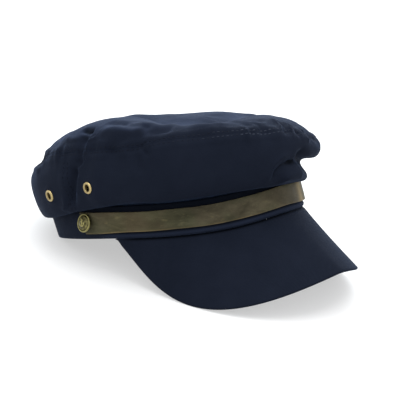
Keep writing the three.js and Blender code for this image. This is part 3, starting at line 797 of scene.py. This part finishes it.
def stitching(name, lines, fade, material):
    """Rows of topstitching along lines of (points, normals) on the cloth: a short
    thread for each stitch, whose ends go down into the cloth. It is painted lighter
    by the share fade, as a painted highlight, most of all towards the front."""
    points, faces, uv = [], [], []
    lift = np.array([-0.35, 0.1, 0.2, 0.1, -0.35])[:, None]
    thick = THREAD_RADIUS * np.array([0.6, 1, 1, 1, 0.6])
    thread_faces = tube_faces(THREAD_RINGS, THREAD_SIDES, False)
    for line, normals in lines:
        way = way_along(line)
        for start in np.arange(0, way[-1] - STITCH, STITCH + STITCH_GAP):
            at = start + np.linspace(0, STITCH, THREAD_RINGS)
            spine, out = (
                np.stack([np.interp(at, way, side[:, i]) for i in range(3)], -1)
                for side in (line, normals)
            )
            out = unit(out)
            first = len(points) * THREAD_RINGS * THREAD_SIDES
            points.append(thread_rings(spine + out * lift, out, thick))
            faces += [[first + k for k in face] for face in thread_faces]
            around = np.tile(np.arange(THREAD_SIDES), THREAD_RINGS)
            uv.append(np.stack([np.repeat(at, THREAD_SIDES), around], -1))
    points = np.concatenate(points)
    # painted highlight on the stitches, strongest towards the front
    facing, spread = STITCH_HIGHLIGHT
    wear_and_highlight = fade * (0.05 + 0.95 * bump(np.abs(turn_of(points)) - facing, spread))
    piece = mesh_piece(name, points, faces, np.concatenate(uv), material, wear_and_highlight, sharp_angle=80)
    return finish_piece(piece, "twill")


def beside_rim(side):
    """The line that topstitching follows above or below the rim seam."""
    turn = np.linspace(-180, 180, 1100)
    row = RIM_ROW + side * STITCH_OFF / rim_row_length(turn)
    return crown_walls(turn, row)[0], crown_normal(turn, row)


def beside_seam(sign, side):
    """The line that topstitching follows before or behind a side seam."""
    row = np.linspace(2.3, RIM_ROW - 0.25, 140)
    turn = sign * CROWN.seam_turn + side * STITCH_OFF / CROWN_ROUND * 360 + 0 * row
    return crown_walls(turn, row)[0], crown_normal(turn, row)


# ---- band, peak and strap


BAND_ROUND = 585  # the way round the band's outer face
HEM_ROLL = 1.3  # the band's hem is turned up, and stands this proud
HEM_HEIGHT = 4.5


def band(material):
    columns = 560
    turn = np.linspace(-180, 180, columns, endpoint=False)[:, None]
    height, thick = BAND.height, BAND.thickness
    flat = [(0.0, z) for z in np.linspace(0, height, 25)[1:-1]]
    outer = [(-0.5, 0.0), (-0.12, 0.25), *flat, (-0.12, height - 0.25), (-0.5, height)]
    section = np.array(outer + [(-thick - out, z) for out, z in reversed(outer)])
    out, z = section.T
    rings = off_band(turn, out, z)
    over_peak = ease(98, 88, np.abs(turn))
    ripple = 0.16 * cloth_noise(rings, 7, 41) * (z >= 0.1)
    roll = HEM_ROLL * np.sin(math.pi * np.minimum(z / HEM_HEIGHT, 1)) * (out > -1) * over_peak
    rings = rings + ring(turn)[1] * (ripple + roll)[..., None]
    # painted highlight on the turned-up hem
    wear_and_highlight = 0.22 * over_peak * bump(z - HEM_HEIGHT / 2, HEM_HEIGHT * 0.35)
    # painted shade on the band under the crown's lip, and a painted shadow in a line just under the strap
    dark = np.maximum(0.6 * ease(16, 20, z), over_peak * bump(z - HEM_HEIGHT, 0.5))
    faces = tube_faces(columns, len(section), True)
    uv = cloth_uv(turn, way_along(section), BAND_ROUND)
    piece = mesh_piece("band_cloth", rings, faces, uv, material, wear_and_highlight, dark)
    drill(piece, button_cuts())
    return finish_piece(piece, "twill", "band")


PEAK_ROUND = 600
ROOT = -0.8  # the peak's cover starts this far inside the band's face
ROOT_DIP = 0.7  # and sinks by this where it is sewn to the band
END_TURN = 76  # from here to its ends the peak thins to this share, and meets the hem
END_SHARE = 0.3


def peak(material):
    columns, thick, half_turn = 300, PEAK.thickness, PEAK.half_turn
    share = np.linspace(-1, 1, columns)[:, None]
    turn = half_turn * 0.99 * np.sign(share) * np.abs(share) ** 0.85
    reach = peak_reach(turn)
    rows = np.linspace(0, 1, 58)
    flat = lerp(ROOT, reach, rows)
    bend = np.linspace(0, math.pi, 11)[1:-1]
    round_edge = reach + np.sin(bend) * thick / 2 * 0.9
    along = np.concatenate([flat, round_edge, flat[:, ::-1]], axis=1)
    face_deep = ROOT_DIP * bump(flat, 1.6)
    edge_deep = thick / 2 * (1 - np.cos(bend)) + 0 * reach
    deep = np.concatenate([face_deep, edge_deep, thick + 0 * flat], axis=1)
    side = np.abs(turn)
    thin = lerp(END_SHARE, 1, ease(half_turn, END_TURN, side))
    close = lerp(0.1, 1, ease(half_turn, half_turn - 4, side))
    rings = peak_point(turn, along * close, deep * thin)
    from_root = np.concatenate([flat, reach + 0 * round_edge, flat[:, ::-1]], axis=1)
    # painted shade along the seam where the peak meets the band
    painted_seam_shade = bump(from_root, 1.2) * ease(86, 76, side)
    length = 60
    way = np.concatenate([rows * length, length + np.arange(1, 10) * 0.5, length + 5 + rows * length])
    faces = tube_faces(columns, rings.shape[1], False)
    uv = cloth_uv(turn, way, PEAK_ROUND)
    piece = mesh_piece("peak_cloth", rings, faces, uv, material, 0 * painted_seam_shade, painted_seam_shade)
    return finish_piece(piece, "twill", "peak")


def strap_out(turn):
    return GAP + STRAP.loose_by * bump(turn - STRAP.loose_turn, STRAP.loose_spread)


STRAP_DROOP = 1.2  # the lower edge of the strap hangs by this at its buttons
SCRATCH = [(-28, 0.25), (-25.5, 0.45), (-22, 0.8)]  # a scratch, as (turn, share of the height)


def strap(material):
    columns = 620
    span = BUTTON.turn + math.degrees(STRAP.past_button / BAND.half_length)
    turn = np.linspace(-span, span, columns)[:, None]
    thick, height, low = STRAP.thickness, STRAP.height, STRAP.low_z
    across = np.linspace(0, 1, 15)
    outer = [(1.0 - 0.1 * bump(s, 0.05) - 0.1 * bump(1 - s, 0.05), s) for s in across]
    inner = [(0.0, s) for s in across[::-1]]
    section = np.array([*outer, (0.82, 1.0), (0.18, 1.0), *inner, (0.18, 0.0), (0.82, 0.0)])
    out, up = section.T
    sway = 0.25 * cloth_noise(along_line(turn), 14, 51)
    droop = STRAP_DROOP * ease(72, 96, np.abs(turn))
    z = low + up * height + sway - (1 - up) * droop
    rings = off_band(turn, strap_out(turn) + out * thick, z)
    away = ring(turn)[1]
    dents = 0.14 * cloth_noise(rings, 6, 52) * (out > 0.5)
    rings = rings + away * dents[..., None]
    side = np.abs(turn)
    edge = 0.75 * (up < 0.01) * (out > 0.1) * (0.35 + 0.65 * bump(side - 90, 45))
    wear_and_highlight = edge * (0.6 + 0.6 * cloth_noise(rings, 9, 53))
    # lighter near the ends and a little at the front; the tan at turn 19 is a painted highlight where the
    # strap turns away at the front
    wear_and_highlight = wear_and_highlight + 0.1 * bump(side - 78, 18) + 0.7 * bump(turn - 19, 4) + 0.05 * bump(side, 14)
    scratch = np.array([off_band(t, thick + GAP, low + s * height) for t, s in SCRATCH])
    dark = 0.75 * bump(nearest_on(rings - away, scratch)[0], 1.1) * (out > 0.5)
    faces = tube_faces(columns, len(section), False)
    uv = cloth_uv(turn, way_along(section * (thick, height)), BAND_ROUND)
    piece = mesh_piece("strap_leather", rings, faces, uv, material, wear_and_highlight, dark)
    drill(piece, button_cuts())
    return finish_piece(piece, "leather", "strap")


# ---- buttons and eyelets


BUTTON_TILT = 0.28  # each button hangs a little on its shank, and looks up
BUTTON_LIFT = 1.2
RELIEF_FROM = 0.3  # only the front of a turned piece, above this height, has a relief


def button_seat(sign):
    """Where a button sits: the middle of the strap's outer face, square to it."""
    turn = sign * BUTTON.turn
    z = STRAP.low_z + STRAP.height / 2
    wall = unit(off_band(turn, 1, 12) - off_band(turn, 1, 0))
    along = off_band(turn + 0.5, 0, z) - off_band(turn - 0.5, 0, z)
    at = off_band(turn, strap_out(turn) + STRAP.thickness + GAP + BUTTON_LIFT, z)
    return at, unit(unit(np.cross(along, wall)) + BUTTON_TILT * wall), wall


def button_cuts():
    return [(*button_seat(sign)[:2], BUTTON.post_radius + 0.1, 8) for _, sign in SIDES]


def standing(normal, up):
    """Axes for a small round thing: across, up and out."""
    out = unit(normal)
    up = unit(up - out * (up @ out))
    return np.stack([np.cross(up, out), up, out])


def turned_piece(name, profile, sides, at, axes, material, relief=None):
    """A profile of (radius, height) points turned about the out axis. relief gives the
    extra height of the face at points across and up."""
    angle = np.linspace(0, 2 * math.pi, sides, endpoint=False)[:, None]
    radius, height = np.array(profile).T
    x, y = np.cos(angle) * radius, np.sin(angle) * radius
    z = height + 0 * x
    front = height > RELIEF_FROM
    wear_and_highlight = 0.55 * ease(0.75, 0.98, radius / radius.max()) * front + 0 * x
    if relief is not None:
        raised = relief(x, y) * front
        z = z + raised
        wear_and_highlight = np.maximum(wear_and_highlight, ease(0.12, 0.4, raised))
    local = np.stack([x, y, z], -1)
    faces = tube_faces(sides, len(profile), True)
    flat = local[..., :2]
    return mesh_piece(name, local @ axes + at, faces, flat, material, wear_and_highlight, sharp_angle=35)


def arc(centre, wide, high, from_angle, to_angle, count):
    """Profile points along part of an ellipse."""
    angles = np.linspace(from_angle, to_angle, count)
    return [(centre[0] + wide * math.cos(a), centre[1] + high * math.sin(a)) for a in angles]


def button(side, sign, material):
    at, normal, wall = button_seat(sign)
    radius, rim, dome = BUTTON.radius, BUTTON.rim_height, BUTTON.dome_height
    post, well = BUTTON.post_radius, 0.7
    under = -(GAP + BUTTON_LIFT + STRAP.thickness + BAND.thickness)
    face = [
        (r, dome - (dome - rim + well) * (r / (radius - 1.1)) ** 2.2)
        for r in np.linspace(radius - 1.25, 0.02, 40)
    ]
    profile = [
        (0.02, under), (post, under), (post, 0), (radius - 0.5, 0), (radius - 0.1, 0.15),
        (radius, 0.5), *arc((radius - 0.6, rim - 0.55), 0.6, 0.55, 0.2, 2.6, 8), *face,
    ]
    axes = standing(normal, wall)
    piece = turned_piece(f"button_brass_{side}", profile, 96, at, axes, material, anchor_relief)
    return finish_piece(piece, "button_brass", f"button_{side}")


def anchor_relief(x, y):
    """A plain anchor inside a ring of rope, raised on the button's dome."""
    def stroke(ax, ay, bx, by, wide):
        dx, dy = bx - ax, by - ay
        t = np.clip(((x - ax) * dx + (y - ay) * dy) / (dx * dx + dy * dy), 0, 1)
        return bump(np.hypot(x - ax - t * dx, y - ay - t * dy), wide)

    r, a = np.hypot(x, y), np.arctan2(y, x)
    shank = stroke(0, -2.6, 0, 2.0, 0.34)
    stock = stroke(-1.3, 1.5, 1.3, 1.5, 0.3)
    eye = bump(np.hypot(x, y - 2.6) - 0.55, 0.24)
    arms = bump(np.hypot(x, y + 0.5) - 2.1, 0.34) * ease(0.3, -0.6, y + 0.5)
    flukes = stroke(-2.3, -0.3, -1.5, -1.0, 0.36) + stroke(2.3, -0.3, 1.5, -1.0, 0.36)
    rope = bump(r - 4.75, 0.42) * (0.65 + 0.35 * np.cos(22 * a + 5 * (r - 4.75)))
    figure = np.maximum.reduce([shank, stock, eye, arms, flukes])
    return 0.45 * np.clip(figure, 0, 1) * (r < 4.1) + 0.3 * rope


def eyelet(name, at, normal, material):
    hole, barrel = EYELET.hole_radius, EYELET.barrel_radius
    flange, washer = EYELET.flange_radius - 0.3, EYELET.washer_radius
    under = -(CROWN.thickness + 2 * GAP)
    middle, half = (hole + flange) / 2, (flange - hole) / 2
    profile = [
        (hole + 0.05, under), (washer, under), (washer + 0.05, under + 0.12),
        (washer, under + GAP), (barrel, under + GAP), (barrel, 0.05), (flange - 0.15, 0.05),
        *arc((middle, GAP * 0.3), half, EYELET.roll_height + 0.15, 0, math.pi, 15),
    ]
    axes = standing(normal, UP)
    piece = turned_piece(f"{name}_brass", profile, 48, at, axes, material)
    return finish_piece(piece, "eyelet_brass", name)


# ---- materials


class Look:
    """A material of one Principled shader, with a short way to feed it."""

    def __init__(self, name):
        self.material = bpy.data.materials.new(name)
        self.material.use_nodes = True
        self.tree = self.material.node_tree
        self.shader = self.tree.nodes["Principled BSDF"]
        self.place = self.node("TexCoord").outputs["Object"]

    def feed(self, socket, value):
        if isinstance(value, bpy.types.NodeSocket):
            self.tree.links.new(value, socket)
        else:
            socket.default_value = value

    def shade(self, settings):
        """Sets or links the shader's own sockets, and gives the finished material."""
        for name, value in settings.items():
            self.feed(self.shader.inputs[name], value)
        return self.material

    def node(self, kind, inputs=(), **settings):
        made = self.tree.nodes.new("ShaderNode" + kind)
        for key, value in settings.items():
            setattr(made, key, value)
        for key, value in dict(inputs).items():
            self.feed(made.inputs[key], value)
        return made

    def maths(self, operation, a, b=0.0):
        return self.node("Math", {0: a, 1: b}, operation=operation).outputs[0]

    def plus(self, a, b):
        return self.maths("ADD", a, b)

    def times(self, a, b):
        return self.maths("MULTIPLY", a, b)

    def flat_place(self):
        """The place on the flat cloth, in metres, as a vector and its two parts."""
        where = self.node("UVMap", uv_map="cloth").outputs["UV"]
        parts = self.node("SeparateXYZ", {"Vector": where})
        return where, parts.outputs["X"], parts.outputs["Y"]

    def share(self, name):
        """One of the shares that mesh_piece gives each point."""
        return self.node("Attribute", attribute_name=name).outputs["Fac"]

    def noise(self, scale, detail=3.0, roughness=0.5, distortion=0.0, where=None):
        names = ["Vector", "Scale", "Detail", "Roughness", "Distortion"]
        values = [self.place if where is None else where, scale, detail, roughness, distortion]
        return self.node("TexNoise", zip(names, values)).outputs["Fac"]

    def ramp(self, share, *stops):
        """A colour ramp through (place, colour) stops. A number stands for a grey."""
        made = self.node("ValToRGB", {"Fac": share})
        elements = made.color_ramp.elements
        while len(elements) < len(stops):
            elements.new(0.5)
        for element, (place, colour) in zip(elements, stops):
            element.position = place
            element.color = (*(colour if isinstance(colour, tuple) else (colour,) * 3), 1)
        return made.outputs["Color"]

    def mix(self, share, a, b):
        colours = [v if isinstance(v, bpy.types.NodeSocket) else (*v, 1) for v in (a, b)]
        inputs = {0: share, 6: colours[0], 7: colours[1]}
        return self.node("Mix", inputs, data_type="RGBA").outputs[2]

    def bump(self, strength, distance, height, over=None):
        inputs = {"Strength": strength, "Distance": distance, "Height": height}
        if over is not None:
            inputs["Normal"] = over
        return self.node("Bump", inputs).outputs["Normal"]


THREAD_PAINTED_HIGHLIGHT = (0.042, 0.05, 0.07)
NAVY = (0.0056, 0.0071, 0.0132)
NAVY_DARK = (0.0037, 0.0048, 0.0095)
NAVY_WORN = (0.017, 0.022, 0.035)
# the colours of the cloth's painted highlight and painted shade
NAVY_PAINTED_HIGHLIGHT = (0.019, 0.027, 0.052)
NAVY_PAINTED_SHADE = (0.0004, 0.0005, 0.001)
RIB = 0.00075  # from one rib of the twill to the next, in metres
YARN = 0.0005  # from one of its yarns to the next


def twill():
    """Cotton twill: slanting ribs, each crossed by its yarns, with painted highlights and painted shade."""
    look = Look("navy_twill")
    _, u, v = look.flat_place()
    plus, times, noise = look.plus, look.times, look.noise
    wave = 2 * math.pi
    slant = plus(times(u, 0.83 * wave / RIB), times(v, 0.56 * wave / RIB))
    ribs = look.maths("SINE", plus(slant, times(noise(900, 2), 2.4)))
    yarns = look.maths("SINE", times(v, wave / YARN))
    weave = plus(plus(times(ribs, 0.36), times(yarns, 0.12)), 0.5)
    colour = look.ramp(noise(38, 4, 0.6), (0.3, NAVY_DARK), (0.7, NAVY))
    colour = look.mix(times(weave, 0.35), colour, NAVY_WORN)
    # painted highlight
    colour = look.mix(look.share("wear_and_highlight"), colour, NAVY_PAINTED_HIGHLIGHT)
    return look.shade({
        # painted shade
        "Base Color": look.mix(look.share("dark"), colour, NAVY_PAINTED_SHADE),
        "Roughness": plus(times(noise(1400, 2, 0.7), 0.16), 0.76),
        "Sheen Weight": 0.065,
        "Sheen Roughness": 0.3,
        "Sheen Tint": (0.3, 0.5, 1.0, 1),
        "Specular IOR Level": 0.04,
        "Specular Tint": (0.6, 0.78, 1.0, 1),
        "Normal": look.bump(0.35, 0.0004, noise(420, 4, 0.6), look.bump(0.5, 0.00012, weave)),
    })


def thread():
    """Navy thread, painted lighter as a highlight where the rows face the light."""
    look = Look("navy_thread")
    _, along, around = look.flat_place()
    # painted highlight, mixed into the thread's navy
    painted_highlight = look.times(look.share("wear_and_highlight"), look.ramp(look.noise(150, 3), (0.4, 0.1), (0.62, 1)))
    twist = look.maths("SINE", look.plus(look.times(along, 9000), look.times(around, 1000)))
    return look.shade({
        "Base Color": look.mix(painted_highlight, NAVY, THREAD_PAINTED_HIGHLIGHT),
        "Roughness": 0.8,
        "Specular IOR Level": 0.06,
        "Normal": look.bump(0.5, 0.0001, twist),
    })


HIDE_OLIVE = [(0.015, 0.0152, 0.008), (0.03, 0.0298, 0.0162), (0.056, 0.054, 0.031)]
HIDE_BROWN = [(0.017, 0.0145, 0.009), (0.035, 0.0295, 0.0178), (0.06, 0.051, 0.032)]
HIDE_DARK = (0.014, 0.0125, 0.007)
HIDE_FLECK = (0.1, 0.085, 0.04)
HIDE_SCUFF = (0.085, 0.077, 0.043)
HIDE_TAN = (0.18, 0.13, 0.055)


def leather():
    """Old olive-brown leather: mottled, flecked and scuffed, tan at its worn cut edge and as a painted
    highlight at the front, with a dark scratch.
    """
    look = Look("distressed_leather")
    stretch = {"Vector": look.flat_place()[0], "Scale": (0.45, 1.0, 1.0)}
    stretched = look.node("Mapping", stretch).outputs[0]
    plus, times, mix, ramp, noise = look.plus, look.times, look.mix, look.ramp, look.noise
    mottle = noise(70, 6, 0.62, where=stretched)
    flecks = noise(230, 4, 0.55, where=stretched)
    scuffs = noise(150, 6, 0.75, 0.6, where=stretched)
    olive, brown = (ramp(mottle, *zip((0.34, 0.5, 0.68), c)) for c in (HIDE_OLIVE, HIDE_BROWN))
    colour = mix(ramp(noise(48), (0.42, 0), (0.58, 1)), olive, brown)
    colour = mix(times(ramp(flecks, (0.62, 0), (0.74, 1)), 0.6), colour, HIDE_FLECK)
    colour = mix(times(ramp(scuffs, (0.55, 0), (0.75, 1)), 0.7), colour, HIDE_SCUFF)
    # tan for the worn cut edge, and a painted highlight where the strap turns away at the front
    colour = mix(look.share("wear_and_highlight"), colour, HIDE_TAN)
    pores = look.node("TexVoronoi", {"Vector": look.place, "Scale": 1500.0}).outputs["Distance"]
    return look.shade({
        "Base Color": mix(look.share("dark"), colour, HIDE_DARK),
        "Roughness": plus(times(mottle, 0.3), 0.45),
        "Specular IOR Level": 0.16,
        "Specular Tint": (1.0, 0.92, 0.7, 1),
        "Sheen Weight": 0.12,
        "Sheen Roughness": 0.25,
        "Sheen Tint": (1.0, 0.78, 0.4, 1),
        "Normal": look.bump(0.5, 0.0006, scuffs, look.bump(0.35, 0.00025, pores)),
    })


def brass(name, bright, dark, low, high, shine):
    """Brass that has darkened in its hollows. low and high bound the tarnish."""
    look = Look(name)
    patina = look.noise(520, 5, 0.6)
    share = look.plus(look.times(patina, 0.75), look.times(look.share("wear_and_highlight"), 0.5))
    return look.shade({
        "Base Color": look.ramp(share, (low, dark), (high, bright)),
        "Metallic": 1.0,
        "Roughness": look.plus(look.times(patina, 0.3), shine),
        "Normal": look.bump(0.25, 0.0001, look.noise(2600, 3, 0.6)),
    })


# ---- light and camera


FLOOR_GLOW = 0.5  # the table is lit a little from below
FLOOR_HALF = 4.0  # half its side, in metres


def floor():
    """A pale floor, wide enough to fill every view."""
    mesh = bpy.data.meshes.new("floor")
    corners = [(-1, -1), (1, -1), (1, 1), (-1, 1)]
    mesh.from_pydata([(FLOOR_HALF * x, FLOOR_HALF * y, 0) for x, y in corners], [], [(0, 1, 2, 3)])
    look = Look("pale_floor")
    mesh.materials.append(look.shade({
        "Base Color": look.ramp(look.noise(9, 2), (0.3, 0.37), (0.7, 0.39)),
        "Roughness": 0.9,
        "Emission Color": (1, 1, 1, 1),
        "Emission Strength": FLOOR_GLOW,
    }))
    piece = link(mesh, "floor")


def area_light(name, at, aim, size, power, colour=(1, 1, 1)):
    data = bpy.data.lights.new(name, "AREA")
    data.shape = "RECTANGLE"
    data.size, data.size_y = size
    data.energy = power
    data.color = colour
    lamp = link(data, name)
    lamp.location = at
    lamp.rotation_euler = (Vector(aim) - Vector(at)).to_track_quat("-Z", "Y").to_euler()


def studio():
    world = bpy.data.worlds.new("studio")
    world.use_nodes = True
    light = world.node_tree.nodes["Background"].inputs
    light["Color"].default_value = (0.96, 0.98, 1, 1)
    light["Strength"].default_value = 1.35
    scene = bpy.context.scene
    scene.world = world
    scene.view_settings.view_transform = "Standard"
    area_light("overhead", (0.0, 0.0, 1.8), (0, 0, 0), (1.5, 1.5), 28)
    area_light("behind", (1.3, 1.2, 1.1), (0, 0, 0.08), (1.6, 1.0), 38, (0.84, 0.93, 1.0))


CAMERA = Record(
    turn=-50,  # the cap is seen from this turn, in its own frame
    height_angle=9.13,
    roll=6.33,
    distance=1568,  # from the middle of the hem
    lens=183.5,  # on a sensor 36 mm wide
    shift=(0.046, 0.041),
)


def camera():
    a, e, roll = (math.radians(x) for x in (CAMERA.turn, CAMERA.height_angle, CAMERA.roll))
    back = np.array([math.sin(a) * math.cos(e), -math.cos(a) * math.cos(e), math.sin(e)])
    right = np.array([math.cos(a), math.sin(a), 0])
    up = np.cross(back, right)
    up, right = up * math.cos(roll) + right * math.sin(roll), right * math.cos(roll) - up * math.sin(roll)
    data = bpy.data.cameras.new("camera")
    data.lens = CAMERA.lens
    data.sensor_width = 36
    data.shift_x, data.shift_y = CAMERA.shift
    data.clip_end = 20
    eye = link(data, "camera")
    axes = Matrix(np.stack([turn_to_frame(right), turn_to_frame(up), turn_to_frame(back)], axis=1).tolist())
    eye.matrix_world = Matrix.Translation(Vector(to_frame(back * CAMERA.distance))) @ axes.to_4x4()
    bpy.context.scene.camera = eye


# ---- assembly

cloth = twill()
aged_brass = brass("antique_brass", (0.36, 0.32, 0.125), (0.05, 0.045, 0.022), 0.3, 0.85, 0.28)
bright_brass = brass("bright_brass", (0.46, 0.36, 0.17), (0.16, 0.125, 0.06), 0.15, 0.6, 0.24)
hide = leather()

seam = CROWN.seam_turn
side_panel("crown_side_front", "side_panel_front", -seam, seam, cloth)
side_panel("crown_side_back", "side_panel_back", seam, 360 - seam, cloth)
top_panel("crown_top", "top_panel", cloth)
rim_turnings(cloth)
yarn = thread()
stitching("rim_stitching", [beside_rim(1), beside_rim(-1)], 1, yarn)
side_lines = [beside_seam(sign, side) for _, sign in SIDES for side in (-1, 1)]
stitching("side_stitching", side_lines, 0.2, yarn)
band(cloth)
peak(cloth)
strap(hide)
for side, sign in SIDES:
    button(side, sign, aged_brass)
for name, at, normal in EYELETS:
    eyelet(name, at, normal, bright_brass)

floor()
studio()
camera()
